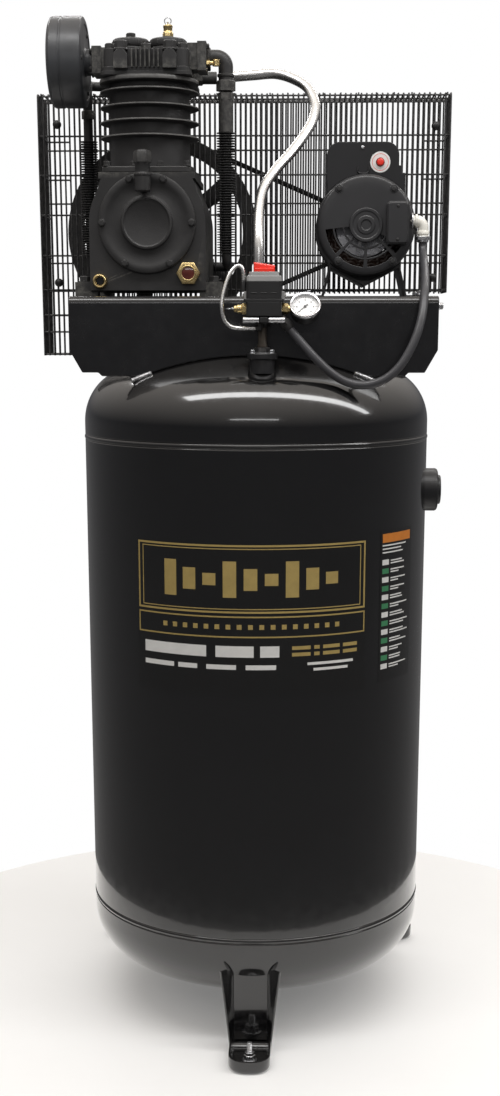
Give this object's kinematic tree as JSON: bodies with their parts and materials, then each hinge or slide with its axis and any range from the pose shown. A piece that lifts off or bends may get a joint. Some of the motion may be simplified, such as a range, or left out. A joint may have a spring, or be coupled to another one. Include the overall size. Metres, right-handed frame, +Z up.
{
  "type": "vertical tank air compressor",
  "caption": "Two-stage belt-driven air compressor: pump, motor and mesh belt guard on a saddle platform over an upright receiver on three feet, with pressure switch and gauge.",
  "frame": {"origin": "on the floor under the middle of the whole machine's plan outline", "axes": "+Z up along the tank, -Y towards the front with the pressure switch, +X to the motor side"},
  "size_m": [0.743, 0.708, 1.748],
  "materials": {
    "tank_paint": "high-gloss black enamel",
    "frame_paint": "semi-gloss black powder coat",
    "cast_paint": "satin black paint on rough castings",
    "machined_steel": "machined",
    "zinc_steel": "bright zinc plate",
    "tube_metal": "drawn tube, satin",
    "brass": "machined brass",
    "chrome": "polished",
    "cast_aluminium": "as cast",
    "copper_windings": "varnished copper windings",
    "black_plastic": "moulded, satin",
    "grey_plastic": "moulded, satin",
    "red_plastic": "moulded, gloss",
    "white_plastic": "printed disc",
    "ivory_plastic": "moulded nylon",
    "conduit_jacket": "ribbed PVC conduit",
    "belt_rubber": "matt rubber",
    "clear_glass": "clear",
    "red_glass": "oil-backed sight glass",
    "filter_paper": "pleated paper"
  },
  "bodies": {
    "root": {"tank_shell": "tank_paint", "tank_top_head": "tank_paint", "tank_bottom_head": "tank_paint", "tank_side_bung": "frame_paint", "feet": "tank_paint", "drain_valve_body": "brass", "platform": "frame_paint", "hex_bolts": "zinc_steel", "riser_pipe": "frame_paint", "control_manifold": "frame_paint", "pressure_switch_base": "grey_plastic", "pressure_switch_cover": "black_plastic", "gauge_case": "chrome", "gauge_dial": "white_plastic", "gauge_lens": "clear_glass", "relief_valve_body": "brass", "unloader_tube": "tube_metal", "discharge_tube": "tube_metal", "check_valve": "brass", "conduit": "conduit_jacket", "conduit_connectors": "ivory_plastic", "crankcase": "cast_paint", "crankcase_cover": "cast_paint", "oil_filler_cap": "cast_paint", "oil_drain_plug": "brass", "sight_glass_bezel": "brass", "sight_glass_lens": "red_glass", "cylinder_block": "cast_paint", "valve_plate": "machined_steel", "cylinder_head": "cast_paint", "valve_caps": "cast_paint", "air_filter_housing": "frame_paint", "air_filter_element": "filter_paper", "intercooler": "frame_paint", "interstage_valve_body": "brass", "shaft_bearings": "machined_steel", "pistons": "cast_aluminium", "connecting_rods": "cast_aluminium", "v_belt": "belt_rubber", "motor_frame": "frame_paint", "motor_front_bell": "frame_paint", "motor_rear_bell": "frame_paint", "motor_stator": "copper_windings", "motor_switch_box": "frame_paint", "motor_side_cover": "frame_paint", "motor_cradle": "frame_paint", "guard_front": "frame_paint", "guard_rear": "frame_paint", "guard_wrap": "frame_paint", "guard_knobs": "black_plastic"},
    "flywheel": {"crankshaft": "machined_steel", "flywheel": "cast_paint"},
    "motor_rotor": {"motor_rotor": "machined_steel", "motor_pulley": "cast_paint"},
    "lever": {"auto_off_lever": "red_plastic"},
    "reset_button": {"motor_reset_button": "red_plastic"},
    "relief_ring": {"relief_valve_ring": "zinc_steel"},
    "interstage_ring": {"interstage_valve_ring": "zinc_steel"},
    "needle": {"gauge_needle": "black_plastic"},
    "drain_knob": {"drain_valve_knob": "brass"}
  },
  "joints": [
    {"name": "flywheel_spin", "type": "hinge", "parent": "root", "child": "flywheel", "pos_m": [-0.1505, 0.206, 1.406], "axis": [0, 1, 0], "continuous": true, "deforming": ["connecting_rods"]},
    {"name": "rotor_spin", "type": "hinge", "parent": "root", "child": "motor_rotor", "pos_m": [0.2145, 0.206, 1.406], "axis": [0, 1, 0], "continuous": true},
    {"name": "auto_off_turn", "type": "hinge", "parent": "root", "child": "lever", "pos_m": [0.0465, -0.189, 1.324], "axis": [0, 0, 1], "range_deg": [0, 45]},
    {"name": "reset_press", "type": "slide", "parent": "root", "child": "reset_button", "axis": [0, 1, 0], "range_m": [0, 0.003], "stiffness_N_per_m": 400},
    {"name": "relief_pull", "type": "slide", "parent": "root", "child": "relief_ring", "axis": [-1, 0, 0], "range_m": [0, 0.0025], "stiffness_N_per_m": 600},
    {"name": "interstage_pull", "type": "slide", "parent": "root", "child": "interstage_ring", "axis": [0, 0, 1], "range_m": [0, 0.003], "stiffness_N_per_m": 600},
    {"name": "gauge_swing", "type": "hinge", "parent": "root", "child": "needle", "pos_m": [0.1125, -0.19, 1.272], "axis": [0, 0.788, -0.6157], "range_deg": [0, 270], "stiffness_Nm_per_rad": 0.002},
    {"name": "drain_turn", "type": "hinge", "parent": "root", "child": "drain_knob", "pos_m": [0.0265, 0.046, 0.012], "axis": [0, 0, 1], "range_deg": [0, 360]}
  ],
  "couplings": [
    {"joint": "rotor_spin", "follows": "flywheel_spin", "ratio": 6.4615}
  ]
}
